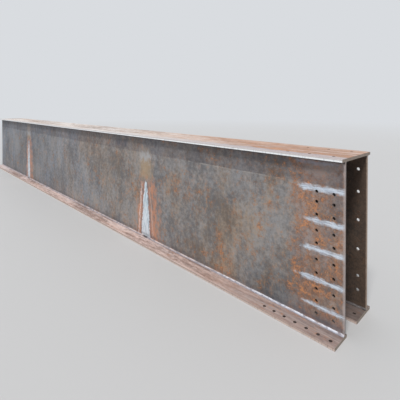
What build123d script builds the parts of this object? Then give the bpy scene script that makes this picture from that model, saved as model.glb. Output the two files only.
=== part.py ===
from build123d import *
import os

# A deep welded steel beam: one top flange over two webs, each web on its own bottom flange,
# joined by eight fillet welds.
# X runs along the beam, Y across it and Z up. The front of the beam faces -Y.
# The origin is under the middle of the beam, on the underside of the bottom flanges.
# All sizes are in millimetres.

# The length and the section; each flange reaches past a face of its web by an outstand
beam_length = 6500
beam_depth = 900
web_spacing = 300
web_thickness = 12
flange_thickness = 16
top_outstand = 36
front_flange_toe = 111
front_flange_heel = 18
back_flange_toe = 137
back_flange_heel = 44
weld_leg = 12
weld_crown = 1.2
edge_chamfer = 1.5

# The bolt holes, all at the +X end and measured from it
hole_diameter = 18
front_web_first_column = 56
front_web_column_pitch = 92
front_web_columns = 2
front_web_rows = (66, 132, 196, 280, 352, 438, 505, 590, 658, 712)
back_web_column = 48
back_web_rows = (113, 193, 346, 512, 674, 802)
web_row_clearance = 30
toe_hole_offset = 76
toe_first_hole = 36
toe_hole_pitch = 64
toe_holes = 7
top_hole_offset = 24
top_first_hole = 74
top_hole_pitch = 133
top_holes = 3

# Worked out from the sizes above
drilled_end = beam_length / 2
web_foot = flange_thickness
web_head = beam_depth - flange_thickness
half_web = web_thickness / 2
reach_forward = half_web + max(front_flange_toe, top_outstand)
reach_back = half_web + max(back_flange_heel, top_outstand)
front_web_y = (reach_forward - web_spacing - reach_back) / 2
back_web_y = front_web_y + web_spacing


def flange_plate(front_edge, back_edge, underside):
    """A flat plate along the beam, with its four long edges dressed."""
    centre = (0, (front_edge + back_edge) / 2, underside + flange_thickness / 2)
    plate = Pos(centre) * Box(beam_length, back_edge - front_edge, flange_thickness)
    return chamfer(plate.edges().filter_by(Axis.X), edge_chamfer)


def hole_places(first, pitch, count):
    """The places of a row of holes along the beam, counted back from the drilled end."""
    return [drilled_end - first - pitch * n for n in range(count)]


def drill_flange(plate, along, across):
    """Bolt holes through a flange, at each of the places along and across the beam."""
    drill = Cylinder(hole_diameter / 2, 3 * beam_depth)
    return plate - [Pos(x, y, 0) * drill for x in along for y in across]


def web_plate(middle, along, heights):
    """An upright plate whose bolt holes keep clear of the top flange."""
    web_height = web_head - web_foot
    plate = Pos(0, middle, web_foot + web_height / 2) * Box(beam_length, web_thickness, web_height)
    drill = Pos(0, middle, 0) * Rot(90, 0, 0) * Cylinder(hole_diameter / 2, 2 * web_thickness)
    kept = [z for z in heights if z <= web_head - web_row_clearance]
    return plate - [Pos(x, 0, z) * drill for x in along for z in kept]


def fillet_weld(web_y, side, corner_height, upward):
    """A fillet weld along a corner of a web: two equal legs and a slightly crowned face."""
    face = web_y + side * half_web
    crown_reach = weld_leg / 2 + weld_crown / 2**0.5
    corner = (face, corner_height)
    flange_toe = (face + side * weld_leg, corner_height)
    web_toe = (face, corner_height + upward * weld_leg)
    crown = (face + side * crown_reach, corner_height + upward * crown_reach)
    outline = Polyline(web_toe, corner, flange_toe) + ThreePointArc(flange_toe, crown, web_toe)
    return extrude(Plane.YZ * make_face(outline), amount=beam_length / 2, both=True)


front_columns = hole_places(front_web_first_column, front_web_column_pitch, front_web_columns)
toe_row = hole_places(toe_first_hole, toe_hole_pitch, toe_holes)
top_row = hole_places(top_first_hole, top_hole_pitch, top_holes)

top_flange = flange_plate(
    front_web_y - half_web - top_outstand, back_web_y + half_web + top_outstand, web_head
)
front_bottom_flange = flange_plate(
    front_web_y - half_web - front_flange_toe, front_web_y + half_web + front_flange_heel, 0
)
back_bottom_flange = flange_plate(
    back_web_y - half_web - back_flange_toe, back_web_y + half_web + back_flange_heel, 0
)

parts = {
    "front_web": web_plate(front_web_y, front_columns, front_web_rows),
    "back_web": web_plate(back_web_y, [drilled_end - back_web_column], back_web_rows),
    "top_flange": drill_flange(
        top_flange,
        top_row,
        [front_web_y + half_web + top_hole_offset, back_web_y - half_web - top_hole_offset],
    ),
    "front_bottom_flange": drill_flange(
        front_bottom_flange, toe_row, [front_web_y - half_web - toe_hole_offset]
    ),
    "back_bottom_flange": drill_flange(
        back_bottom_flange, toe_row, [back_web_y - half_web - toe_hole_offset]
    ),
}

for web_name, web_y in (("front_web", front_web_y), ("back_web", back_web_y)):
    for face_name, side in (("front", -1), ("back", 1)):
        parts[f"weld_{web_name}_foot_{face_name}"] = fillet_weld(web_y, side, web_foot, 1)
        parts[f"weld_{web_name}_head_{face_name}"] = fillet_weld(web_y, side, web_head, -1)

os.makedirs("parts", exist_ok=True)
for name, solid in parts.items():
    export_step(solid, f"parts/{name}.step")
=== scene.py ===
# %% [markdown]
# # A deep welded beam in mill-scaled, rusting steel
#
# The beam is five plates and eight fillet welds: two webs under one top flange, each
# web on a bottom flange of its own. The plates are already exact in the frame, so this
# lesson spends its effort on three things: how rolled and flame-cut steel is coloured,
# what the weld beads look like up close, and the marks that handling and grinding have
# left on the front of the beam.
#
# The frame is loaded first, because every later size is read from it.

# %% Load the frame
import math

import bpy
import numpy as np
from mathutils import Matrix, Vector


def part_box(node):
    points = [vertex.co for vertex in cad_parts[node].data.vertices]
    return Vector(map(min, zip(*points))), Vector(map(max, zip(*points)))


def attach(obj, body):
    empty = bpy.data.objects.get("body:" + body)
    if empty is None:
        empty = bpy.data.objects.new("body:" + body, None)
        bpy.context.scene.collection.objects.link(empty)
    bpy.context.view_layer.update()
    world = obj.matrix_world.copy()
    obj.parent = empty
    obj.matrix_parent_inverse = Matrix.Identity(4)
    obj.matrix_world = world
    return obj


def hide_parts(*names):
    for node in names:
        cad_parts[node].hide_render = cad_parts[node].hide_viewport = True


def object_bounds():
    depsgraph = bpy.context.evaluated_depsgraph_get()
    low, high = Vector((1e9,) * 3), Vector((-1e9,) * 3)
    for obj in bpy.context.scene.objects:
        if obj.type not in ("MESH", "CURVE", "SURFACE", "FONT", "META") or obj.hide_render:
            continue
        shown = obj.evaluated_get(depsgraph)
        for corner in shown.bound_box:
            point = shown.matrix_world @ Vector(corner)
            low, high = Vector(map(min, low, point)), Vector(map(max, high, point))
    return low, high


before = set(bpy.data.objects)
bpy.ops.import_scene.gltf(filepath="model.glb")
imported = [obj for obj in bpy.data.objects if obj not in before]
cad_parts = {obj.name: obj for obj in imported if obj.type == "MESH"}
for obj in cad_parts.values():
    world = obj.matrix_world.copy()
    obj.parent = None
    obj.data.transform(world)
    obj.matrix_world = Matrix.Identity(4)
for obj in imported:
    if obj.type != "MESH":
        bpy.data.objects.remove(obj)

cad_box = [list(corner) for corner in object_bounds()]
print("the frame's box in metres:", cad_box)

# %% [markdown]
# ## Sizes read from the frame
#
# Everything below is in metres. X runs along the beam to the drilled end, the front
# web faces -Y, and Z is up. A mark that sits 0.30 m from the drilled end is
# written as `END - 0.30`, so it stays where it belongs if the beam gets longer.

# %% The beam's own sizes
FAR, END = cad_box[0][0], cad_box[1][0]
web_low, web_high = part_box("front_web")
weld_low, weld_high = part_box("weld_front_web_foot_front")

FACE = web_low[1]
WEB_THICK = web_high[1] - web_low[1]
FRONT_WEB = FACE + WEB_THICK / 2
WEB_FOOT, WEB_HEAD = web_low[2], web_high[2]
WEB_MIDDLE = (WEB_FOOT + WEB_HEAD) / 2
LEG = weld_high[2] - weld_low[2]
print(f"front face at y = {FACE:.4f}, webs from z = {WEB_FOOT:.3f} to {WEB_HEAD:.3f}, weld leg {LEG:.4f}")

# %% [markdown]
# ## The camera
#
# The beam is photographed from in front of its drilled end, a little above the top
# flange, with a wide lens. The upright edges stay upright in the picture, so the camera
# is nearly level, and the view is moved down with the lens shift instead of by tilting.
# The lens and the place come from the two vanishing points of the beam's edges. The
# lens is in millimetres, the shift is a share of the picture's width, and the turn and
# tilt are in radians.

# %% Camera
LENS = 29.21
SHIFT_DOWN = 0.2277
CAMERA_TURN = 0.7996
CAMERA_TILT = 0.0119
EYE_PAST_END = 0.6446
EYE_BEFORE_WEB = 1.6306
EYE_HEIGHT = 1.165

camera_data = bpy.data.cameras.new("camera")
camera_data.lens = LENS
camera_data.shift_y = -SHIFT_DOWN
camera = bpy.data.objects.new("camera", camera_data)
camera.location = (END + EYE_PAST_END, FRONT_WEB - EYE_BEFORE_WEB, EYE_HEIGHT)
camera.rotation_euler = (math.pi / 2 - CAMERA_TILT, 0.0, CAMERA_TURN)
bpy.context.scene.collection.objects.link(camera)
bpy.context.scene.camera = camera
print("camera at", tuple(round(value, 3) for value in camera.location))

# %% [markdown]
# ## Placing nodes
#
# A material is a graph. Writing it as nested function calls keeps it readable: each
# helper adds one node and gives back its output socket. A socket handed in as an input
# is linked, while a plain value is typed into the field. A finish that several steels
# share goes into a node group, which is built once and placed with its own values.

# %% Nodes and groups
def fill(tree, socket, value):
    """Links the value to the socket if it is a socket too, and otherwise types it in."""
    if isinstance(value, bpy.types.NodeSocket):
        tree.links.new(value, socket)
    else:
        socket.default_value = value


def put(tree, kind, inputs=(), output=0, **settings):
    """Adds a node, fills its inputs (name or number: value or socket) and gives one output."""
    node = tree.nodes.new(kind)
    for name, value in settings.items():
        setattr(node, name, value)
    for name, value in dict(inputs).items():
        fill(tree, node.inputs[name], value)
    return node.outputs[output]


def start_group(name, inputs, outputs):
    """An empty shader node group with named sockets; gives its tree, inputs and end node."""
    tree = bpy.data.node_groups.new(name, "ShaderNodeTree")
    for label, kind, value in inputs:
        socket = tree.interface.new_socket(label, in_out="INPUT", socket_type="NodeSocket" + kind)
        if value is not None:
            socket.default_value = value
    for label, kind in outputs:
        tree.interface.new_socket(label, in_out="OUTPUT", socket_type="NodeSocket" + kind)
    return tree, tree.nodes.new("NodeGroupInput").outputs, tree.nodes.new("NodeGroupOutput").inputs


def spoken(name):
    """The label of a socket from a Python name: foot_x is Foot X."""
    return name.replace("_", " ").title()


def use_group(tree, group, **values):
    """Places a group in a tree with the given inputs, and gives its outputs."""
    node = tree.nodes.new("ShaderNodeGroup")
    node.node_tree = group
    for name, value in values.items():
        fill(tree, node.inputs[spoken(name)], value)
    return node.outputs


print("foot_x fills the socket", spoken("foot_x"))

# %% [markdown]
# ## Arithmetic on masks
#
# A mask is a number from 0 to 1 at every point of a surface. Masks are made from places
# and noises by plain arithmetic, so these helpers are only short names for Blender's
# Math and Map Range nodes. Map Range with a smooth step is the one used most: it turns
# any value into a mask with a soft edge.

# %% Arithmetic helpers
def compute(tree, operation, first, second=0.0):
    """One Math node."""
    return put(tree, "ShaderNodeMath", {0: first, 1: second}, operation=operation)


def add(tree, first, second):
    """first + second"""
    return compute(tree, "ADD", first, second)


def times(tree, first, second):
    """first * second"""
    return compute(tree, "MULTIPLY", first, second)


def minus(tree, first, second):
    """first - second"""
    return compute(tree, "SUBTRACT", first, second)


def away_from(tree, value, place):
    """How far value is from place, on either side."""
    return compute(tree, "ABSOLUTE", minus(tree, value, place))


def weighted(tree, *terms):
    """The sum of value * weight over the (value, weight) pairs."""
    total = times(tree, *terms[0])
    for value, weight in terms[1:]:
        total = add(tree, total, times(tree, value, weight))
    return total


def swinging(tree, *terms):
    """The weighted sum less half the weights: noises average 0.5, so it swings about zero."""
    return minus(tree, weighted(tree, *terms), sum(weight for _, weight in terms) / 2)


def largest(tree, masks):
    """The highest of several masks."""
    result = masks[0]
    for mask in masks[1:]:
        result = compute(tree, "MAXIMUM", result, mask)
    return result


def fade(tree, value, start, stop, low=0.0, high=1.0):
    """A smooth step: low where value is at start, high where it is at stop."""
    inputs = {"Value": value, "From Min": start, "From Max": stop, "To Min": low, "To Max": high}
    return put(tree, "ShaderNodeMapRange", inputs, interpolation_type="SMOOTHSTEP")


print("masks come from", ", ".join(helper.__name__ for helper in (weighted, swinging, largest, fade)))

# %% [markdown]
# ## Places and noise
#
# Every pattern starts from a place in the beam's own frame. Adding an offset to the
# place gives a second noise that has nothing to do with the first. Multiplying one axis
# by less than 1 draws the pattern out along that axis, which is how rolled steel gets
# its streaks.

# %% Place and noise helpers
def vector(tree, operation, first, second=(0.0, 0.0, 0.0)):
    """One Vector Math node."""
    return put(tree, "ShaderNodeVectorMath", {0: first, 1: second}, operation=operation)


def shifted(tree, place, offset):
    """place + offset"""
    return vector(tree, "ADD", place, offset)


def stretched(tree, place, factors):
    """place * factors, axis by axis: a factor below 1 draws a pattern out."""
    return vector(tree, "MULTIPLY", place, factors)


def split(tree, place):
    """The X, Y and Z of a place."""
    node = tree.nodes.new("ShaderNodeSeparateXYZ")
    tree.links.new(place, node.inputs[0])
    return node.outputs[0], node.outputs[1], node.outputs[2]


def noise(tree, place, scale, detail=4.0, roughness=0.55, distortion=0.0):
    """Cloudy noise from 0 to 1, about 0.5 on average, with about scale clouds in a metre."""
    inputs = {
        "Vector": place,
        "Scale": scale,
        "Detail": detail,
        "Roughness": roughness,
        "Distortion": distortion,
    }
    return put(tree, "ShaderNodeTexNoise", inputs)


print("patterns start from", ", ".join(helper.__name__ for helper in (shifted, stretched, split, noise)))

# %% [markdown]
# ## Laying one colour over another
#
# Two kinds of mix are enough for steel. A tint covers what is below it, as paint or bare
# metal does. A stain multiplies it by a filter, as damp or thin rust does, so the
# texture below still shows through. A filter may be above 1 in a channel, and then it
# brightens that channel. Colours are written as the 8-bit values seen on a screen.

# %% Colour helpers
# The Mix node repeats its socket names for numbers and colours, so these are numbers
MIX_FACTOR, MIX_UNDER, MIX_OVER, MIX_RESULT = 0, 6, 7, 2


def tint(tree, colour, mask, share, over):
    """Lays the colour over on top of colour, as far as mask * share."""
    inputs = {MIX_FACTOR: times(tree, mask, share), MIX_UNDER: colour, MIX_OVER: over}
    return put(tree, "ShaderNodeMix", inputs, output=MIX_RESULT, data_type="RGBA")


def stain(tree, colour, mask, share, filter_colour):
    """Multiplies colour by the filter colour, as far as mask * share."""
    inputs = {MIX_FACTOR: times(tree, mask, share), MIX_UNDER: colour, MIX_OVER: filter_colour}
    return put(tree, "ShaderNodeMix", inputs, output=MIX_RESULT, data_type="RGBA", blend_type="MULTIPLY")


def rgb(red, green, blue):
    """A colour from 8-bit screen values, turned into the linear values that the shader wants."""
    linear = []
    for value in (red / 255, green / 255, blue / 255):
        linear.append(value / 12.92 if value <= 0.04045 else ((value + 0.055) / 1.055) ** 2.4)
    return (*linear, 1.0)


print("screen grey 128 is", round(rgb(128, 128, 128)[0], 3), "in linear light")

# %% [markdown]
# ## Mill scale
#
# Hot-rolled plate comes out of the mill with a skin of blue-grey oxide. It is not one
# grey: the rolls draw it out into soft streaks, water runs down it when the plate stands
# on edge, and it is speckled where flakes have come away. A painted image would need a
# very large picture for a beam this long, so this is a group of noises at four sizes.
# One of them is drawn out in the direction in which the plate is streaked. Three more
# noises, from broad to fine, move the hue: the *Warm* and *Cool* inputs are filters, so
# the grey texture still shows through them.

# %% Mill scale group
scale_group, given, result = start_group(
    "mill scale",
    [
        ("Position", "Vector", None),
        ("Draw", "Vector", (1.0, 1.0, 1.0)),
        ("Pale", "Color", (0.3, 0.3, 0.3, 1.0)),
        ("Dark", "Color", (0.1, 0.1, 0.1, 1.0)),
        ("Warm", "Color", (1.0, 0.9, 0.7, 1.0)),
        ("Cool", "Color", (0.8, 0.9, 1.0, 1.0)),
        ("Warmth", "Float", 0.6),
        ("Coolness", "Float", 0.6),
        ("Contrast", "Float", 1.0),
    ],
    [("Color", "Color"), ("Height", "Float")],
)
tree = scale_group
place = given["Position"]
drawn = stretched(tree, place, given["Draw"])
clouds = noise(tree, place, scale=2.3, detail=5.0, roughness=0.6)
streaks = noise(tree, drawn, scale=11.0, detail=7.0, roughness=0.66, distortion=0.4)
mottle = noise(tree, place, scale=34.0, detail=7.0, roughness=0.72)
speckle = noise(tree, place, scale=130.0, detail=4.0, roughness=0.72)

tone = swinging(tree, (clouds, 0.30), (streaks, 0.22), (mottle, 0.36), (speckle, 0.12))
tone = times(tree, tone, given["Contrast"])
grey = tint(tree, given["Dark"], fade(tree, tone, -0.095, 0.085), 1.0, given["Pale"])
relief = weighted(tree, (streaks, 0.3), (mottle, 0.5), (speckle, 0.4))
tree.links.new(relief, result["Height"])
print("mill scale greys:", len(tree.nodes), "nodes")

# %% Mill scale hue
broad_place = shifted(tree, drawn, (2.3, 6.1, 1.7))
hue_place = shifted(tree, drawn, (7.3, 1.1, 4.7))
fine_place = shifted(tree, place, (0.7, 3.1, 9.2))
broad_hue = noise(tree, broad_place, scale=1.9, detail=4.0, roughness=0.6, distortion=0.5)
hue = noise(tree, hue_place, scale=7.5, detail=7.0, roughness=0.68, distortion=0.6)
fine_hue = noise(tree, fine_place, scale=55.0, detail=5.0, roughness=0.7)

warmer = swinging(tree, (broad_hue, 0.50), (hue, 0.42), (fine_hue, 0.28))
cool_mask = fade(tree, warmer, 0.02, -0.11)
warm_mask = fade(tree, warmer, -0.02, 0.11)
skin = stain(tree, grey, cool_mask, given["Coolness"], given["Cool"])
skin = stain(tree, skin, warm_mask, given["Warmth"], given["Warm"])
tree.links.new(skin, result["Color"])
print("mill scale with its hues:", len(tree.nodes), "nodes")

# %% [markdown]
# ## Rust
#
# Rust starts as dots that grow and join, so its edge is ragged at every size. The trick
# is to add several noises and cut the sum at a threshold. Wherever the *Zone* input is
# raised the threshold is easier to pass, and the dots close up into a clump. A lower
# threshold gives the thin brown film that spreads round each clump. Another noise moves
# the colour of the clumps from brown-purple to orange, and *Fresh* makes more of them
# orange.

# %% Rust group
FILM_FROM, FILM_FULL = 0.542, 0.635
RUST_FROM, RUST_FULL = 0.595, 0.675
OLD_RUST, BROWN_RUST, ORANGE_RUST = rgb(116, 92, 80), rgb(164, 117, 88), rgb(198, 133, 86)

rust_group, given, result = start_group(
    "rust",
    [
        ("Position", "Vector", None),
        ("Zone", "Float", 0.0),
        ("Fresh", "Float", 0.0),
    ],
    [("Color", "Color"), ("Film", "Float"), ("Mask", "Float"), ("Height", "Float")],
)
tree = rust_group
place = given["Position"]
broad_place = shifted(tree, place, (2.1, 5.0, 8.4))
dot_place = shifted(tree, place, (1.9, 0.4, 3.3))
bloom_place = shifted(tree, place, (6.2, 1.7, 0.9))
broad = noise(tree, broad_place, scale=6.0, detail=6.0, roughness=0.68, distortion=0.4)
clumps = noise(tree, place, scale=25.0, detail=7.0, roughness=0.70)
dots = noise(tree, dot_place, scale=105.0, detail=3.0, roughness=0.6)
bloom = noise(tree, bloom_place, scale=52.0, detail=6.0, roughness=0.78)

amount = weighted(tree, (broad, 0.40), (clumps, 0.46), (dots, 0.20), (given["Zone"], 1.0))
film = fade(tree, amount, FILM_FROM, FILM_FULL)
rust_mask = fade(tree, amount, RUST_FROM, RUST_FULL)
brightness = weighted(tree, (amount, 0.40), (bloom, 0.90), (given["Fresh"], 1.0))
brown = fade(tree, brightness, 0.655, 0.725)
orange = fade(tree, brightness, 0.715, 0.790)
rust_colour = tint(tree, OLD_RUST, brown, 1.0, BROWN_RUST)
rust_colour = tint(tree, rust_colour, orange, 1.0, ORANGE_RUST)
crust = times(tree, rust_mask, add(tree, clumps, dots))
for label, value in (("Color", rust_colour), ("Film", film), ("Mask", rust_mask), ("Height", crust)):
    tree.links.new(value, result[label])
print("rust:", len(tree.nodes), "nodes")

# %% [markdown]
# ## A soft-edged zone
#
# Most marks on the beam are somewhere in particular: a streak at one height, rust near
# one end, a pale line along an edge. They all use this one group. It is a box with a
# centre and half sizes, whose sides fade out over *Soft*. *Wander* shifts the sides by a
# noise, counted in widths of the soft edge. The mask is the product of three smooth
# steps, one for each axis.

# %% Soft zone group
EVERYWHERE = 10.0

zone_group, given, result = start_group(
    "soft zone",
    [
        ("Position", "Vector", None),
        ("Centre", "Vector", (0.0, 0.0, 0.0)),
        ("Half Size", "Vector", (1.0, 1.0, 1.0)),
        ("Soft", "Vector", (0.1, 0.1, 0.1)),
        ("Wander", "Float", 0.0),
        ("Grain", "Float", 20.0),
    ],
    [("Mask", "Float")],
)
tree = zone_group
place = given["Position"]
apart = vector(tree, "ABSOLUTE", vector(tree, "SUBTRACT", place, given["Centre"]))
beyond = vector(tree, "SUBTRACT", apart, given["Half Size"])
beyond = vector(tree, "DIVIDE", beyond, given["Soft"])
wobble = minus(tree, noise(tree, place, given["Grain"], detail=6.0, roughness=0.68), 0.5)
beyond = vector(tree, "ADD", beyond, times(tree, wobble, given["Wander"]))
steps = [fade(tree, axis, 1.0, -1.0) for axis in split(tree, beyond)]
tree.links.new(times(tree, times(tree, steps[0], steps[1]), steps[2]), result["Mask"])


def zone(tree, place, centre, half, soft, wander=0.0, grain=20.0):
    """The mask of one soft-edged zone."""
    values = {"centre": centre, "half_size": half, "soft": soft, "wander": wander, "grain": grain}
    return use_group(tree, zone_group, position=place, **values)["Mask"]


def on_front(tree, place, centre, half, soft, wander=0.0, grain=20.0):
    """A zone on the front face of the front web only; centre, half and soft are (x, z)."""
    return zone(
        tree,
        place,
        (centre[0], FACE, centre[1]),
        (half[0], WEB_THICK / 4, half[1]),
        (soft[0], WEB_THICK / 12, soft[1]),
        wander,
        grain,
    )


print("soft zone:", len(zone_group.nodes), "nodes")

# %% [markdown]
# ## Tongues of bare metal
#
# Where a clamp was taken off, the grinder has left a bright tongue of bare metal. It is
# wide at the weld and runs out to a point, with scorched, freshly rusted steel on both
# sides. Its half width shrinks with height as `foot width * (1 - height share) ^ 0.6`.
# Everything else follows from the distance beyond that edge: the core is where the
# distance is negative, a dull rim hugs it, a thin pale outline runs 42 mm out, and the
# rusty halo reaches further on the side of the drilled end.

# %% Tongue group: the distance beyond its edge
POINTEDNESS = 0.6
HALO_DRIFT = 0.030

tongue_group, given, result = start_group(
    "grinding tongue",
    [
        ("Position", "Vector", None),
        ("Foot X", "Float", 0.0),
        ("Foot Z", "Float", 0.0),
        ("Tall", "Float", 0.5),
        ("Half Width", "Float", 0.05),
    ],
    [("Core", "Float"), ("Rim", "Float"), ("Outline", "Float"), ("Halo", "Float"), ("Above", "Float")],
)
tree = tongue_group
place = given["Position"]
place_x, _, place_z = split(tree, place)
upright = stretched(tree, place, (1.0, 1.0, 0.25))
ragged = minus(tree, noise(tree, place, scale=30.0, detail=6.0, roughness=0.7), 0.5)
grain = minus(tree, noise(tree, upright, scale=70.0, detail=4.0, roughness=0.6), 0.5)

rise = compute(tree, "DIVIDE", minus(tree, place_z, given["Foot Z"]), given["Tall"])
rise = add(tree, rise, times(tree, ragged, 0.08))
# Kept above zero, because a negative number has no power of 0.6
left_over = compute(tree, "MAXIMUM", minus(tree, 1.0, rise), 0.0001)
taper = compute(tree, "POWER", left_over, POINTEDNESS)
half_now = times(tree, taper, given["Half Width"])

sideways = minus(tree, place_x, given["Foot X"])
aside = away_from(tree, place_x, given["Foot X"])
drifted = away_from(tree, sideways, HALO_DRIFT)
wobble = weighted(tree, (ragged, 0.050), (grain, 0.030))
beyond = add(tree, minus(tree, aside, half_now), wobble)
halo_beyond = add(tree, minus(tree, drifted, half_now), times(tree, wobble, 2.0))
print("tongue edge:", len(tree.nodes), "nodes")

# %% Tongue group: its masks
RIM_AT, RIM_HALF = 0.011, 0.013
OUTLINE_AT, OUTLINE_HALF = 0.042, 0.0060
HALO_REACH = 0.195
SMEAR_REACH = 0.17

below_tip = fade(tree, rise, 1.02, 0.96)
core = times(tree, fade(tree, beyond, 0.005, -0.005), below_tip)
off_rim = away_from(tree, beyond, RIM_AT)
rim = times(tree, fade(tree, off_rim, RIM_HALF, 0.003), below_tip)
off_line = away_from(tree, beyond, OUTLINE_AT)
outline = fade(tree, off_line, 2 * OUTLINE_HALF, OUTLINE_HALF / 2)
outline = times(tree, outline, fade(tree, rise, 1.05, 0.75))
outline = times(tree, outline, fade(tree, sideways, 0.03, -0.03, 0.40, 1.0))
halo = fade(tree, halo_beyond, HALO_REACH, 0.0)
halo = times(tree, halo, fade(tree, rise, 1.25, 0.80))
above = times(tree, fade(tree, aside, SMEAR_REACH, 0.0), fade(tree, rise, 0.90, 1.15))
above = times(tree, above, fade(tree, rise, 1.75, 1.45))
for label, mask in (("Core", core), ("Rim", rim), ("Outline", outline), ("Halo", halo), ("Above", above)):
    tree.links.new(mask, result[label])
print("tongue with its masks:", len(tree.nodes), "nodes")

# %% [markdown]
# ## Starting and finishing a material
#
# Each steel has its own material. They all begin with Object coordinates, which for a
# piece at the origin are simply metres in the beam's own frame, and end in one
# Principled BSDF with a Bump node for the relief. Where scale stands high it is smooth
# and a little glossier, and rust is raised and dull, so both heights go into the bump.

# %% Material helpers
def start_material(name):
    """A new node material; gives the material, its tree, the Principled node and the place."""
    material = bpy.data.materials.new(name)
    material.use_nodes = True
    tree = material.node_tree
    place = put(tree, "ShaderNodeTexCoord", output="Object")
    return material, tree, tree.nodes["Principled BSDF"], place


def connect(tree, principled, **sockets):
    """Links or sets the Principled inputs, whose names are given with underscores."""
    for name, value in sockets.items():
        fill(tree, principled.inputs[spoken(name)], value)


def bump(tree, height, strength, distance):
    """A Bump node's normal."""
    return put(tree, "ShaderNodeBump", {"Strength": strength, "Distance": distance, "Height": height})


def plate_normal(tree, scale, rust, scale_share, rust_share, strength, distance):
    """The normal of a plate whose relief is scale_share of its scale and rust_share of its rust."""
    relief = weighted(tree, (scale["Height"], scale_share), (rust["Height"], rust_share))
    return bump(tree, relief, strength, distance)


def plate_roughness(tree, scale, dull, glossy):
    """From dull where the scale lies low to glossy where it stands high."""
    return fade(tree, scale["Height"], 0.45, 0.75, dull, glossy)


def dress(node_name, material):
    """Gives a CAD node its material."""
    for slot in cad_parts[node_name].material_slots:
        slot.material = material
    print(node_name, "->", material.name)


print("nodes of the frame:", ", ".join(sorted(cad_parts)))

# %% [markdown]
# ## The front web
#
# This is the face that the picture is mostly made of. From back to front it carries:
# grey scale streaked downwards, a darker band under the top flange with a chalky lower
# edge, partly a scale mark and partly painted shade, a bluer and darker far half, a damp
# foot, a slanting run of orange rust, a brown-purple end zone, then the grinder's tongues
# and five wiped streaks. Each is one mask and one mix, in that order, so the tree reads
# like the history of the plate.
#
# The scale comes first, and then the large shades laid over it, among them the band
# under the top flange, which is partly painted shade. Near the drilled end it is warm,
# and far away it is cool.

# %% Front web: scale and shades
WEB_DRAW = (1.0, 1.0, 0.45)
WEB_WARM = (1.10, 0.92, 0.74, 1.0)
WEB_COOL = (0.79, 0.89, 1.02, 1.0)
BAND_FOOT = 0.748
END_ZONE = 0.29
BAND_MARK_AND_SHADE = (0.73, 0.71, 0.73, 1.0)
END_WARMTH = (1.12, 0.93, 0.85, 1.0)
FAR_SHADE = (0.79, 0.82, 0.85, 1.0)
BLUE_SHADE = (0.97, 1.01, 1.07, 1.0)
BLUE_BAND = (0.91, 0.93, 0.95, 1.0)
DAMP_SHADE = (0.68, 0.74, 0.80, 1.0)

front_steel, tree, principled, place = start_material("front web steel")
place_x, place_y, place_z = split(tree, place)
near = fade(tree, place_x, END - 4.5, END - 0.4)
scale = use_group(
    tree,
    scale_group,
    position=place,
    draw=WEB_DRAW,
    pale=rgb(147, 143, 141),
    dark=rgb(101, 98, 98),
    warm=WEB_WARM,
    cool=WEB_COOL,
    warmth=add(tree, times(tree, near, 0.45), 0.50),
    coolness=add(tree, times(tree, near, -0.45), 0.95),
)
# The band under the top flange is partly a scale mark and partly painted shade. It reaches further down
# than the lamp's own shadow of the flange, and far away it is darker still.
band_half = (WEB_HEAD - BAND_FOOT) / 2
band_centre = (0.0, FRONT_WEB, WEB_HEAD - band_half)
band_size = (EVERYWHERE, 1.0, band_half)
band = zone(tree, place, band_centre, band_size, (1.0, 1.0, 0.006), wander=4.0, grain=7.0)
front_end = (END, FRONT_WEB, WEB_MIDDLE)
end_zone = zone(tree, place, front_end, (END_ZONE, 1.0, 1.0), (0.05, 1.0, 1.0), wander=5.0, grain=7.0)
far_web = fade(tree, place_x, END - 3.2, END - 4.5)
blue_web = fade(tree, place_x, END - 2.3, END - 3.1)
damp = on_front(tree, place, (END - 0.43, 0.06), (0.17, 0.11), (0.12, 0.08), wander=2.0, grain=8.0)

colour = scale["Color"]
shades = [
    (band, BAND_MARK_AND_SHADE),
    (end_zone, END_WARMTH),
    (far_web, FAR_SHADE),
    (blue_web, BLUE_SHADE),
    (times(tree, band, blue_web), BLUE_BAND),
    (damp, DAMP_SHADE),
]
for mask, filter_colour in shades:
    colour = stain(tree, colour, mask, 1.0, filter_colour)
print("scale and", len(shades), "shades:", len(tree.nodes), "nodes")

# %% [markdown]
# ### Rust on the front web
#
# The rust is placed one by one. A run leans away from the drilled end as it rises, so its
# zone is made upright and the place is sheared. Clumps crowd along the edge of the end
# zone, and a few stains lie further in. A clump is given as its distance from the
# drilled end, its height above the floor and its strength, which its mask already
# holds, and a stain as its distance, its height and half its own height.

# %% Front web: rust
RUN_FOOT, RUN_TOP = (0.750, 0.02), (1.000, 0.68)
CLUMPS = (
    (0.38, 0.83, 0.085),
    (0.29, 0.80, 0.080),
    (0.36, 0.76, 0.085),
    (0.30, 0.70, 0.080),
    (0.18, 0.61, 0.060),
    (0.25, 0.51, 0.130),
    (0.25, 0.44, 0.125),
    (0.21, 0.35, 0.110),
    (0.28, 0.26, 0.085),
    (0.29, 0.15, 0.030),
)
STAINS = (
    (0.48, 0.38, 0.10),
    (0.47, 0.57, 0.02),
    (0.95, 0.10, 0.03),
    (1.30, 0.48, 0.10),
    (2.29, 0.28, 0.14),
    (2.67, 0.45, 0.10),
    (3.85, 0.45, 0.22),
)
FILM_SHADE = (1.14, 0.87, 0.70, 1.0)

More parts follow.
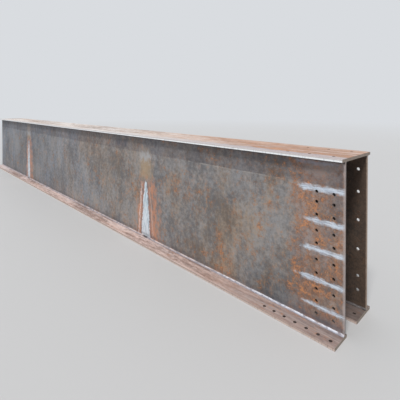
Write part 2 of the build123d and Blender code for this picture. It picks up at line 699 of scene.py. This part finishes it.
lean = (RUN_TOP[0] - RUN_FOOT[0]) / (RUN_TOP[1] - RUN_FOOT[1])
upright_x = add(tree, place_x, times(tree, place_z, lean))
sheared = put(tree, "ShaderNodeCombineXYZ", {0: upright_x, 1: place_y, 2: place_z})
run_centre = (END - RUN_FOOT[0] + lean * RUN_FOOT[1], FACE, 0.30)
run = zone(tree, sheared, run_centre, (0.02, 1.0, 0.28), (0.07, 1.0, 0.12), wander=2.5, grain=9.0)
foot_centre = (END - 1.1, FACE, WEB_FOOT)
foot_stain = zone(tree, place, foot_centre, (1.1, 1.0, 0.02), (0.4, 1.0, 0.07), wander=3.0, grain=8.0)
clump_masks = []
for x, z, strength in CLUMPS:
    clump = on_front(tree, place, (END - x, z), (0.03, 0.03), (0.07, 0.07), wander=2.0, grain=11.0)
    clump_masks.append(times(tree, clump, strength))
clump = largest(tree, clump_masks)
stains = largest(
    tree,
    [
        on_front(tree, place, (END - x, z), (0.02, tall), (0.05, 0.10), wander=3.0, grain=9.0)
        for x, z, tall in STAINS
    ],
)
rust_zone = weighted(
    tree, (end_zone, 0.048), (clump, 1.0), (run, 0.072), (foot_stain, 0.035), (stains, 0.050), (near, 0.015)
)
fresh = weighted(tree, (clump, 0.40), (run, 0.015), (end_zone, -0.005))
rust = use_group(tree, rust_group, position=place, zone=rust_zone, fresh=fresh)
colour = stain(tree, colour, rust["Film"], 1.0, FILM_SHADE)
colour = tint(tree, colour, rust["Mask"], 0.80, rust["Color"])
print("rust in", len(CLUMPS), "clumps and", len(STAINS), "stains:", len(tree.nodes), "nodes")

# %% [markdown]
# ### Small marks under the top flange
#
# Chalk dust has settled along a part of the dark band's lower edge. One flake of scale
# is nearly black, and the upper corner at the drilled end has been rubbed pale.

# %% Front web: small marks
CHALK_CENTRE, CHALK_HALF = 0.72, 0.38
FLAKE_AT = (2.11, 0.803)
CHALK, DARK_FLAKE, RUBBED = rgb(190, 182, 174), rgb(52, 56, 72), rgb(142, 148, 164)

chalk_at = (END - CHALK_CENTRE, BAND_FOOT - 0.002)
flake_at = (END - FLAKE_AT[0], FLAKE_AT[1])
corner_at = (END - 0.14, WEB_HEAD - 0.022)
chalk = on_front(tree, place, chalk_at, (CHALK_HALF, 0.0015), (0.12, 0.0050), wander=5.0, grain=11.0)
flake = on_front(tree, place, flake_at, (0.10, 0.03), (0.03, 0.015), wander=4.0, grain=12.0)
corner = on_front(tree, place, corner_at, (0.11, 0.006), (0.05, 0.012), wander=6.0, grain=18.0)
colour = tint(tree, colour, chalk, 0.40, CHALK)
colour = tint(tree, colour, flake, 0.5, DARK_FLAKE)
colour = tint(tree, colour, corner, 0.55, RUBBED)
print("small marks:", len(tree.nodes), "nodes")

# %% [markdown]
# ### The tongues
#
# Both tongues come from the one group. Above each tip there is a smear, first ochre,
# then pale and then dull. The halo is torn by a blotchy noise, and the bare core has
# fine upright grinding lines. A tongue is given as its distance from the drilled end,
# its height and half its width at the foot.

# %% Front web: tongues
TONGUES = ((1.704, 0.492, 0.064), (4.890, 0.600, 0.050))
OCHRE, PALE_SMEAR, DULL_SMEAR = rgb(172, 146, 112), rgb(176, 176, 178), rgb(140, 128, 116)
HALO_BROWN, HALO_ORANGE = rgb(148, 116, 100), rgb(196, 132, 98)
OUTLINE_PINK, RIM_DULL = rgb(228, 204, 200), rgb(118, 104, 112)
GROUND_DARK, GROUND_BRIGHT = rgb(160, 184, 198), rgb(228, 237, 246)

masks = {"Core": [], "Rim": [], "Outline": [], "Halo": [], "Above": []}
for from_end, tall, half in TONGUES:
    values = {"foot_x": END - from_end, "foot_z": WEB_FOOT, "tall": tall, "half_width": half}
    outputs = use_group(tree, tongue_group, position=place, **values)
    for label, found in masks.items():
        found.append(outputs[label])
front_only = fade(tree, place_y, FRONT_WEB, FACE + WEB_THICK / 4)
core, rim, outline, halo, above = (
    times(tree, largest(tree, found), front_only) for found in masks.values()
)
fibre = noise(tree, stretched(tree, place, (1.0, 1.0, 0.08)), scale=160.0, detail=4.0, roughness=0.6)
blotch = noise(tree, stretched(tree, place, (1.0, 1.0, 0.5)), scale=26.0, detail=6.0, roughness=0.7)

above = fade(tree, weighted(tree, (above, 1.3), (blotch, 3.0), (fibre, 1.6)), 2.35, 3.60)
frayed_z = add(tree, place_z, times(tree, minus(tree, blotch, 0.5), 0.30))
above_colour = tint(tree, OCHRE, fade(tree, frayed_z, 0.66, 0.72), 1.0, PALE_SMEAR)
above_colour = tint(tree, above_colour, fade(tree, frayed_z, 0.73, 0.78), 1.0, DULL_SMEAR)
halo = fade(tree, weighted(tree, (halo, 1.2), (blotch, 2.6)), 1.40, 2.50)
halo_colour = tint(tree, HALO_BROWN, fade(tree, blotch, 0.42, 0.56), 1.0, HALO_ORANGE)
core_colour = tint(tree, GROUND_DARK, fade(tree, fibre, 0.38, 0.54), 1.0, GROUND_BRIGHT)
layers = [
    (above, 0.62, above_colour),
    (halo, 0.74, halo_colour),
    (outline, 0.66, OUTLINE_PINK),
    (rim, 0.55, RIM_DULL),
    (core, 0.96, core_colour),
]
for mask, share, over in layers:
    colour = tint(tree, colour, mask, share, over)
print(len(TONGUES), "tongues:", len(tree.nodes), "nodes")

# %% [markdown]
# ### The wiped streaks
#
# Between the rows of holes a cloth has wiped five pale streaks, from the drilled end
# inwards. Each is a soft zone, cut again together with a noise that is drawn out along
# the beam, so that its edges fray the way a cloth leaves them. A streak is given as its
# reach from the end, its height above the floor and half its width.

# %% Front web: wiped streaks
STREAKS = (
    (0.268, 0.728, 0.0160),
    (0.228, 0.556, 0.0135),
    (0.246, 0.404, 0.0140),
    (0.284, 0.246, 0.0125),
    (0.256, 0.106, 0.0110),
)
FRAY = 0.020
WIPED_DARK, WIPED_PALE = rgb(180, 192, 208), rgb(214, 226, 240)

wiped = largest(
    tree,
    [
        on_front(tree, place, (END, z), (reach - FRAY, half), (0.045, 0.018), wander=2.0, grain=30.0)
        for reach, z, half in STREAKS
    ],
)
cloth = noise(tree, stretched(tree, place, (0.10, 1.0, 1.0)), scale=130.0, detail=5.0, roughness=0.65)
wiped = fade(tree, weighted(tree, (wiped, 1.0), (cloth, 0.9)), 0.66, 1.50)
wipe_colour = tint(tree, WIPED_DARK, fade(tree, cloth, 0.40, 0.56), 1.0, WIPED_PALE)
colour = tint(tree, colour, wiped, 0.90, wipe_colour)
print(len(STREAKS), "streaks:", len(tree.nodes), "nodes")

# %% [markdown]
# ### Edges, inner face and finish
#
# The weld's heat has left a dark line just above the bead, the foot at the drilled end
# is grey with damp, and the end itself is cut bright. The inner face lies in the shade
# between the webs, and that shade is painted on it, dark. Bare metal is smoother and a
# little metallic, and rust is rougher.

# %% Front web: edges and finish
HEAT_ABOVE_WELD = 0.012
HEAT_DARK, DAMP_GREY = rgb(70, 72, 82), rgb(92, 98, 112)
CUT_END, INNER_PAINTED_SHADE = rgb(176, 166, 164), rgb(74, 66, 60)

heat_centre = (0.0, FACE, WEB_FOOT + LEG + HEAT_ABOVE_WELD)
heat = zone(tree, place, heat_centre, (EVERYWHERE, 1.0, 0.008), (1.0, 1.0, 0.012), wander=1.5, grain=22.0)
end_foot = on_front(tree, place, (END - 0.15, 0.035), (0.18, 0.030), (0.10, 0.045), wander=3.0, grain=12.0)
end_strip = zone(tree, place, front_end, (0.008, 1.0, 1.0), (0.006, 1.0, 1.0), wander=2.5, grain=40.0)
# Painted shade: the inner face, between the webs, is darkened.
inside = fade(tree, place_y, FRONT_WEB, FRONT_WEB + WEB_THICK / 4)
layers = [
    (heat, 0.40, HEAT_DARK),
    (end_foot, 0.42, DAMP_GREY),
    (end_strip, 0.65, CUT_END),
    (inside, 0.65, INNER_PAINTED_SHADE),
]
for mask, share, over in layers:
    colour = tint(tree, colour, mask, share, over)

bare = largest(tree, [core, times(tree, wiped, 0.5)])
rough = weighted(tree, (rust["Mask"], 0.30), (bare, -0.15))
connect(
    tree,
    principled,
    base_color=colour,
    roughness=add(tree, rough, plate_roughness(tree, scale, 0.62, 0.48)),
    metallic=times(tree, bare, 0.3),
    normal=plate_normal(tree, scale, rust, 0.6, 0.9, 0.5, 0.0015),
)
dress("front_web", front_steel)

# %% [markdown]
# ## The back web
#
# The inner face of the back web lies in the shade between the webs, and that shade is
# painted on it: much darker and browner than the front of the beam, and a little lighter
# brown towards the open drilled end as painted light, with a pale sawn end. Its outer face
# is the same mill scale as the front one, without the marks, and it starts from a shifted
# place so that the two plates aren't twins.

# %% Back web material
PAINTED_SHADE_DARK, PAINTED_SHADE_BROWN = rgb(34, 30, 28), rgb(66, 53, 44)
PAINTED_LIGHT_NEAR_END, SAWN_END = rgb(116, 88, 66), rgb(170, 150, 134)

back_steel, tree, principled, place = start_material("back web steel")
place_x, place_y, _ = split(tree, place)
scale = use_group(
    tree,
    scale_group,
    position=shifted(tree, place, (3.7, 0.0, 1.9)),
    draw=WEB_DRAW,
    pale=rgb(146, 141, 138),
    dark=rgb(98, 96, 97),
    warm=WEB_WARM,
    cool=WEB_COOL,
    warmth=0.8,
    coolness=0.7,
)
rust = use_group(tree, rust_group, position=place, zone=0.032, fresh=0.01)
colour = tint(tree, scale["Color"], rust["Mask"], 0.8, rust["Color"])

back_low, back_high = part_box("back_web")
back_middle = (back_low[1] + back_high[1]) / 2
# Painted shade on the inner face, with painted light making it lighter brown towards the open end.
painted_shade = fade(tree, place_y, back_middle, back_low[1] + WEB_THICK / 4)
painted_shade_colour = tint(tree, PAINTED_SHADE_DARK, fade(tree, scale["Height"], 0.52, 0.66), 1.0, PAINTED_SHADE_BROWN)
painted_shade_colour = tint(tree, painted_shade_colour, fade(tree, place_x, END - 0.16, END), 0.24, PAINTED_LIGHT_NEAR_END)
colour = tint(tree, colour, painted_shade, 0.90, painted_shade_colour)
back_end = (END, back_low[1], WEB_MIDDLE)
end_strip = zone(tree, place, back_end, (0.004, 1.0, 1.0), (0.003, 1.0, 1.0), wander=2.0, grain=40.0)
colour = tint(tree, colour, end_strip, 0.8, SAWN_END)
connect(
    tree,
    principled,
    base_color=colour,
    roughness=plate_roughness(tree, scale, 0.66, 0.50),
    normal=plate_normal(tree, scale, rust, 0.6, 0.9, 0.5, 0.0015),
)
dress("back_web", back_steel)

# %% [markdown]
# ## The flanges
#
# The flanges lie flat, so rain has stood on them and left a thin, even film of rust,
# drawn out along the beam, with fine darker and paler lines in it. The top one is salmon
# and tan at the drilled end and paler further away; the bottom ones are pinker, and the
# back one, which lies in the shade, is painted darker as painted shade.

# %% Flange skin
FLANGE_CONTRAST = 1.35
LINE_STAIN = (0.88, 0.76, 0.66, 1.0)
LINE_PALE, BACK_PAINTED_SHADE = rgb(228, 212, 204), rgb(66, 54, 44)


def flange_skin(tree, place, near, look):
    """
    Scale drawn out along the beam, tinted where near is high, then lines, rust and the
    painted shade on the back half. Gives the colour, the scale's outputs and the rust's outputs.
    """
    scale = use_group(
        tree,
        scale_group,
        position=stretched(tree, shifted(tree, place, (1.3, 2.9, 0.0)), (0.38, 1.3, 1.0)),
        draw=(0.35, 1.4, 1.0),
        pale=look["pale"],
        dark=look["dark"],
        warm=look["warm"],
        cool=look["cool"],
        warmth=add(tree, times(tree, near, 0.55), 0.40),
        coolness=0.70,
        contrast=FLANGE_CONTRAST,
    )
    rust = use_group(
        tree,
        rust_group,
        position=stretched(tree, place, (look["rust_draw"], 1.2, 1.0)),
        zone=add(tree, times(tree, near, look["near_rust"]), look["rust"]),
        fresh=0.03,
    )
    line_place = stretched(tree, place, (2.6, 30.0, 1.0))
    lines = noise(tree, line_place, scale=1.0, detail=5.0, roughness=0.68, distortion=0.3)
    colour = tint(tree, scale["Color"], near, look["near_share"], look["near"])
    colour = stain(tree, colour, fade(tree, lines, 0.48, 0.62), look["lines"], LINE_STAIN)
    colour = tint(tree, colour, fade(tree, lines, 0.50, 0.36), look["lines"] / 2, LINE_PALE)
    colour = tint(tree, colour, rust["Mask"], look["rust_share"], rust["Color"])
    _, place_y, _ = split(tree, place)
    # Painted shade on the back half, which darkens the back bottom flange.
    colour = tint(tree, colour, fade(tree, place_y, -0.02, 0.02), look["back_painted_shade"], BACK_PAINTED_SHADE)
    return colour, scale, rust


print("flange skin: lines drawn out", round(30.0 / 2.6, 1), "times along the beam")

# %% [markdown]
# All flanges have flame-cut long edges, which are finely ribbed and mostly bright, with
# a shoulder along the top where the flame went in, and a worn margin on the skin beside
# the front edge. On the top flange the cut edge is near white, partly pale cut metal and
# partly a painted highlight. The walls of the drilled holes are painted dark, as painted
# shade. A surface that lies between the top and the underside of a plate can only be a
# long edge, an end or the wall of a hole, which is how the shader tells them apart.

# %% Flange margin and edges
CUT_WIDTH = 0.0032
SKIN_DEPTH = 0.0004
END_DEPTH = 0.0012
SHOULDER_FROM, SHOULDER_FULL = 0.010, 0.003
HOLE_WALL_SHADE, FLANGE_END = rgb(60, 50, 46), rgb(148, 134, 122)


def edge_band(tree, coordinate, edges, width):
    """A mask within width of any of the given places along one axis."""
    bands = [fade(tree, away_from(tree, coordinate, edge), width, width * 0.4) for edge in edges]
    return largest(tree, bands)


def flange_margin(tree, place, colour, near, scale, box, look):
    """Lays the margin along the front edge of the box, torn by the height of the scale."""
    (_, front_edge, underside), _ = box
    half = (EVERYWHERE, look["margin_width"], 1.0)
    strip = zone(tree, place, (0.0, front_edge, underside), half, (1.0, 0.030, 1.0), wander=4.0, grain=9.0)
    strip = fade(tree, weighted(tree, (strip, 0.8), (scale["Height"], 0.8)), 0.72, 1.22)
    strip_colour = tint(tree, look["margin_far"], near, 1.0, look["margin_near"])
    return tint(tree, colour, strip, look["margin_share"], strip_colour)


def flange_edges(tree, place, colour, boxes, look):
    """Lays hole walls darkened as painted shade, ribbed cut edges with their shoulder, and the two ends."""
    place_x, place_y, place_z = split(tree, place)
    underside, upper = boxes[0][0][2], boxes[0][1][2]
    under_skin = fade(tree, place_z, upper - SKIN_DEPTH / 2, upper - SKIN_DEPTH)
    over_foot = fade(tree, place_z, underside + SKIN_DEPTH / 2, underside + SKIN_DEPTH)
    within = times(tree, under_skin, over_foot)
    # Painted shade: every surface between the top and the underside is darkened first, which leaves the
    # hole walls dark.
    colour = tint(tree, colour, within, 0.85, HOLE_WALL_SHADE)

    edge = edge_band(tree, place_y, [corner[1] for box in boxes for corner in box], CUT_WIDTH)
    ribs = noise(tree, stretched(tree, place, (110.0, 4.0, 18.0)), scale=1.0, detail=3.0, roughness=0.5)
    shoulder = fade(tree, place_z, upper - SHOULDER_FROM, upper - SHOULDER_FULL)
    # On the top flange these cut colours are near white: partly pale cut metal and partly a painted
    # highlight.
    cut_colour = tint(tree, look["cut_dark"], fade(tree, ribs, 0.30, 0.50), 1.0, look["cut_pale_and_highlight"])
    cut_colour = tint(tree, cut_colour, shoulder, 0.85, look["cut_shoulder"])
    colour = tint(tree, colour, times(tree, edge, within), 0.95, cut_colour)
    return tint(tree, colour, edge_band(tree, place_x, (FAR, END), END_DEPTH), 0.80, FLANGE_END)


print(f"cut edges {CUT_WIDTH * 1000:.1f} mm deep in Y, ends {END_DEPTH * 1000:.1f} mm deep in X")

# %% [markdown]
# The two looks differ only in numbers, so they are two tables for one function. A share
# says how far a colour covers what is below it, and near_from says how far from the
# drilled end the warmer colour begins.

# %% Flange materials
TOP_LOOK = {
    "pale": rgb(220, 212, 207),
    "dark": rgb(156, 138, 128),
    "warm": (1.08, 0.80, 0.62, 1.0),
    "cool": (1.02, 1.12, 1.22, 1.0),
    "near": rgb(164, 114, 82),
    "near_share": 0.56,
    "near_from": 2.6,
    "lines": 0.9,
    "rust": 0.02,
    "near_rust": 0.06,
    "rust_draw": 0.3,
    "rust_share": 0.60,
    "back_painted_shade": 0.0,
    "margin_width": 0.080,
    "margin_near": rgb(174, 174, 182),
    "margin_far": rgb(210, 205, 204),
    "margin_share": 0.68,
    # Near-white cut edge: partly pale cut metal and partly a painted highlight.
    "cut_dark": rgb(216, 220, 226),
    "cut_pale_and_highlight": rgb(246, 249, 252),
    "cut_shoulder": rgb(182, 174, 172),
}
BOTTOM_LOOK = {
    "pale": rgb(208, 190, 186),
    "dark": rgb(132, 112, 106),
    "warm": (1.10, 0.90, 0.78, 1.0),
    "cool": (0.95, 1.08, 1.22, 1.0),
    "near": rgb(112, 101, 100),
    "near_share": 0.70,
    "near_from": 1.3,
    "lines": 0.4,
    "rust": 0.03,
    "near_rust": 0.03,
    "rust_draw": 0.8,
    "rust_share": 0.40,
    "back_painted_shade": 0.55,
    "margin_width": 0.010,
    "margin_near": rgb(180, 158, 150),
    "margin_far": rgb(216, 198, 192),
    "margin_share": 0.45,
    "cut_dark": rgb(158, 140, 132),
    "cut_pale_and_highlight": rgb(206, 186, 176),
    "cut_shoulder": rgb(150, 130, 122),
}


def flange_steel(name, nodes, look):
    """The steel of one or two flanges; the margin follows the first one's front edge."""
    material, tree, principled, place = start_material(name)
    boxes = [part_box(node) for node in nodes]
    place_x, _, _ = split(tree, place)
    near = fade(tree, place_x, END - look["near_from"], END - 0.3)
    colour, scale, rust = flange_skin(tree, place, near, look)
    colour = flange_margin(tree, place, colour, near, scale, boxes[0], look)
    connect(
        tree,
        principled,
        base_color=flange_edges(tree, place, colour, boxes, look),
        roughness=plate_roughness(tree, scale, 0.72, 0.52),
        normal=plate_normal(tree, scale, rust, 0.7, 0.8, 0.45, 0.0012),
    )
    for node in nodes:
        dress(node, material)


flange_steel("top flange steel", ["top_flange"], TOP_LOOK)
flange_steel("bottom flange steel", ["front_bottom_flange", "back_bottom_flange"], BOTTOM_LOOK)

# %% [markdown]
# ## The weld metal
#
# Only the weld at the foot of the front web is lit and painted bright: it is silvery near
# the drilled end, pinker further in, and greyer on its lower half, and its raised spots
# are painted paler, partly as glints. The others lie in the shade; they are dull and
# rusty, and painted dark as painted shade. Under each tongue the bead is burnt dark.

# %% Weld metal
SILVER, PINK_SILVER, BRIGHT_PITS = rgb(212, 216, 228), rgb(206, 188, 184), rgb(140, 134, 140)
WELD_RUST, LOWER_GREY, BURNT = rgb(156, 132, 120), rgb(138, 138, 150), rgb(56, 52, 54)
SHADED_DULL_PITS, SHADED_DULL_METAL = rgb(52, 47, 46), rgb(98, 92, 92)

weld_metal, tree, principled, place = start_material("weld metal")
place_x, place_y, place_z = split(tree, place)
mottle = noise(tree, stretched(tree, place, (0.5, 1.0, 1.0)), scale=60.0, detail=5.0, roughness=0.65)
patches = noise(tree, place, scale=7.0, detail=4.0, roughness=0.6)
# Raised spots are painted paler and pits darker: partly weld mottle, and partly painted glints and shade.
raised = fade(tree, mottle, 0.38, 0.58)
near = fade(tree, place_x, END - 1.4, END - 0.2)
lower = fade(tree, place_z, WEB_FOOT + LEG * 0.62, WEB_FOOT + LEG * 0.22)
bright = tint(tree, BRIGHT_PITS, raised, 1.0, tint(tree, PINK_SILVER, near, 1.0, SILVER))
bright = tint(tree, bright, fade(tree, patches, 0.52, 0.64), 0.45, WELD_RUST)
bright = tint(tree, bright, lower, 0.75, LOWER_GREY)
# Painted shade: every weld but the one at the front foot gets this dark, dull copy, with some rust.
dull = tint(tree, SHADED_DULL_PITS, raised, 1.0, SHADED_DULL_METAL)

before_web = fade(tree, place_y, FACE + 0.002, FACE)
front_foot = times(tree, before_web, fade(tree, place_z, WEB_MIDDLE, WEB_FOOT + LEG))
tacks = [
    zone(tree, place, (END - from_end, FACE, WEB_FOOT), (0.03, 0.05, 0.03), (0.015, 0.02, 0.02), wander=1.0)
    for from_end, _, _ in TONGUES
]
colour = tint(tree, dull, front_foot, 1.0, bright)
colour = tint(tree, colour, largest(tree, tacks), 0.85, BURNT)
connect(
    tree,
    principled,
    base_color=colour,
    metallic=0.3,
    roughness=fade(tree, mottle, 0.3, 0.7, 0.58, 0.40),
    normal=bump(tree, mottle, 0.3, 0.001),
)
print("weld metal:", len(tree.nodes), "nodes")

# %% [markdown]
# ## The weld beads
#
# A submerged-arc fillet is a long, slightly crowned triangle whose face is covered by
# fine curved ripples, one for each tiny advance of the pool. The solids in the frame are
# smooth, so each is replaced by a surface on a grid: one parameter runs along the beam,
# the other across the face of the weld. The height above the straight face is
# `crown * 4v(1 - v) + ripple`, where a ripple's phase bends backwards in the middle,
# which gives the fish-scale look. A slow curve makes the legs and the crown swell and
# shrink along the beam. Everything stays inside the legs of the smooth weld.

# %% Sizes of a bead
RIPPLE = 0.009
RIPPLE_HEIGHT = 0.0004
RIPPLE_LEVEL = 0.6
RIPPLE_BEND = 0.9
RIPPLE_DRIFT, DRIFT_WAVES = 0.10, (0.017, 0.083)
CROWN, CROWN_SWING = 0.0006, 0.4
LEG_SHARE, LEG_SWING = 0.93, 0.07
SWELL_WAVES = (0.031, 0.057, 0.113, 0.29, 0.71)
SUNK = 0.0008
INSIDE = 0.0005
ROWS_PER_RIPPLE = 5
ACROSS = 9


def slow_curve(x, wavelengths, seed):
    """A smooth random curve along the beam: sine waves of several lengths with random phases."""
    random = np.random.default_rng(seed)
    total = np.zeros_like(x)
    for wavelength in wavelengths:
        phase, strength = random.uniform(0, 2 * np.pi), random.uniform(0.6, 1.0)
        total += strength * np.sin(2 * np.pi * x / wavelength + phase)
    return total / len(wavelengths)


print("ripples in one bead:", round((END - FAR) / RIPPLE))

# %% Bead surface
def bead_points(face_y, side, corner_z, upward, seed):
    """
    The points of one fillet weld in the corner between a web's face and a flange. At place
    x along the beam and share v across the weld, from the toe on the flange to the toe on
    the web, the point is on the straight face between the toes, raised along the 45 degree
    normal by crown and ripples. The last column is the root, sunk into both plates, which
    closes the surface into a tube.
    """
    rows = int((END - FAR) / RIPPLE * ROWS_PER_RIPPLE)
    x = np.linspace(FAR + INSIDE, END - INSIDE, rows)[:, None]
    v = np.linspace(0.0, 1.0, ACROSS)[None, :]
    swell = slow_curve(x, SWELL_WAVES, seed)
    leg = (LEG - INSIDE) * (LEG_SHARE + LEG_SWING * swell)
    arch = 4 * v * (1 - v)
    travel = x / RIPPLE + RIPPLE_DRIFT * slow_curve(x, DRIFT_WAVES, seed + 1) - RIPPLE_BEND * arch
    height = CROWN * arch * (1 + CROWN_SWING * swell)
    height = height + RIPPLE_HEIGHT * (np.abs(np.sin(np.pi * travel)) - RIPPLE_LEVEL) * arch
    out = leg * (1 - v) + height / math.sqrt(2)
    up = leg * v + height / math.sqrt(2)
    out[:, -1] = up[:, 0] = -SUNK
    root = np.full((rows, 1), -SUNK)
    out, up = np.hstack([out, root]), np.hstack([up, root])
    along = np.broadcast_to(x, out.shape)
    return np.stack([along, face_y + side * out, corner_z + upward * up], axis=-1)


def bead_faces(rows, columns, mirrored):
    """Four-sided faces round the tube, each ring joined to the next, and a cap at each end."""
    grid = np.arange(rows * columns).reshape(rows, columns)
    after = np.roll(grid, -1, axis=1)
    quads = np.stack([grid[:-1], after[:-1], after[1:], grid[1:]], axis=-1).reshape(-1, 4)
    ends = [grid[0][::-1], grid[-1]]
    if mirrored:
        quads, ends = quads[:, ::-1], [end[::-1] for end in ends]
    return quads.tolist() + [end.tolist() for end in ends]


def bead(name, face_y, side, corner_z, upward, seed):
    """One weld bead as a finished piece of weld metal."""
    points = bead_points(face_y, side, corner_z, upward, seed)
    mesh = bpy.data.meshes.new(name)
    faces = bead_faces(*points.shape[:2], mirrored=side * upward < 0)
    mesh.from_pydata(points.reshape(-1, 3).tolist(), [], faces)
    mesh.shade_smooth()
    mesh.materials.append(weld_metal)
    piece = bpy.data.objects.new(name, mesh)
    bpy.context.scene.collection.objects.link(piece)
    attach(piece, "root")
    print(name, len(mesh.polygons), "faces")
    return piece


SEED_STEP = 10
seed = 0
for web in ("front_web", "back_web"):
    faces = {"front": (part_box(web)[0][1], -1), "back": (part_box(web)[1][1], 1)}
    for corner, corner_z, upward in (("foot", WEB_FOOT, 1), ("head", WEB_HEAD, -1)):
        for face_name, (face_y, side) in faces.items():
            seed += SEED_STEP
            place_name = f"{web}_{corner}_{face_name}"
            piece = bead("bead_" + place_name, face_y, side, corner_z, upward, seed)
            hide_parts("weld_" + place_name)

# %% [markdown]
# ## Floor
#
# The floor is a plain pale disc. Far away it fades into the colour of the background, so
# there is no hard horizon. The fade is seen only by rays that look straight at it or by
# way of a mirror; all others see the plain floor, so it adds no light to the beam.

# %% Floor
BACKDROP = rgb(217, 220, 224)
FLOOR_PAINT = rgb(190, 190, 191)
FLOOR_RADIUS = 60.0
FLOOR_SIDES = 96
FADE_FROM, FADE_FULL = 5.0, 24.0

turn = np.linspace(0, 2 * np.pi, FLOOR_SIDES, endpoint=False)
ring = np.stack([FLOOR_RADIUS * np.cos(turn), FLOOR_RADIUS * np.sin(turn), np.zeros_like(turn)], axis=-1)
floor_mesh = bpy.data.meshes.new("floor")
floor_mesh.from_pydata(ring.tolist(), [], [list(range(FLOOR_SIDES))])
floor = bpy.data.objects.new("floor", floor_mesh)
bpy.context.scene.collection.objects.link(floor)


def seen_directly(tree):
    """1 for the rays that look at a thing, 0 for the rays that carry its light to others."""
    rays = tree.nodes.new("ShaderNodeLightPath").outputs
    return largest(tree, [rays["Is Camera Ray"], rays["Is Glossy Ray"], rays["Is Transmission Ray"]])


floor_paint, tree, principled, place = start_material("pale floor")
connect(tree, principled, base_color=FLOOR_PAINT, roughness=0.55)
distance = put(tree, "ShaderNodeVectorMath", {0: place}, output="Value", operation="LENGTH")
far = times(tree, fade(tree, distance, FADE_FROM, FADE_FULL), seen_directly(tree))
backdrop_light = put(tree, "ShaderNodeEmission", {"Color": BACKDROP, "Strength": 1.0})
mixed = put(tree, "ShaderNodeMixShader", {0: far, 1: principled.outputs[0], 2: backdrop_light})
tree.links.new(mixed, tree.nodes["Material Output"].inputs["Surface"])
floor_mesh.materials.append(floor_paint)
print(f"floor {2 * FLOOR_RADIUS:.0f} m across, fading from {FADE_FROM:.0f} to {FADE_FULL:.0f} m")

# %% [markdown]
# ## Light
#
# A broad lamp high above the front throws the soft shadow of the top flange on the web,
# and an even pale sky fills everything else. The sky that is looked at is the backdrop
# at full strength, while the sky that lights the beam is dimmer, so that pale steel
# keeps its colour.

# %% World and lamp
SKY_COLOUR, SKY_STRENGTH = (0.94, 0.97, 1.0, 1.0), 0.52
LAMP_COLOUR, LAMP_STRENGTH = (1.0, 0.985, 0.96), 2.6
LAMP_RISE, LAMP_SWING, LAMP_SPREAD = 60, 22, 12

world = bpy.data.worlds.new("studio")
bpy.context.scene.world = world
world.use_nodes = True
tree = world.node_tree
tree.nodes.clear()
lighting = put(tree, "ShaderNodeBackground", {"Color": SKY_COLOUR, "Strength": SKY_STRENGTH})
backdrop = put(tree, "ShaderNodeBackground", {"Color": BACKDROP, "Strength": 1.0})
surface = put(tree, "ShaderNodeMixShader", {0: seen_directly(tree), 1: lighting, 2: backdrop})
tree.links.new(surface, tree.nodes.new("ShaderNodeOutputWorld").inputs["Surface"])

lamp_data = bpy.data.lights.new("high lamp", "SUN")
lamp_data.energy = LAMP_STRENGTH
lamp_data.angle = math.radians(LAMP_SPREAD)
lamp_data.color = LAMP_COLOUR
lamp = bpy.data.objects.new("high lamp", lamp_data)
lamp.rotation_euler = (math.pi / 2 - math.radians(LAMP_RISE), 0.0, math.radians(LAMP_SWING))
bpy.context.scene.collection.objects.link(lamp)

bpy.context.scene.view_settings.view_transform = "Standard"
print(f"lamp {LAMP_RISE} degrees up, {LAMP_SPREAD} degrees wide")
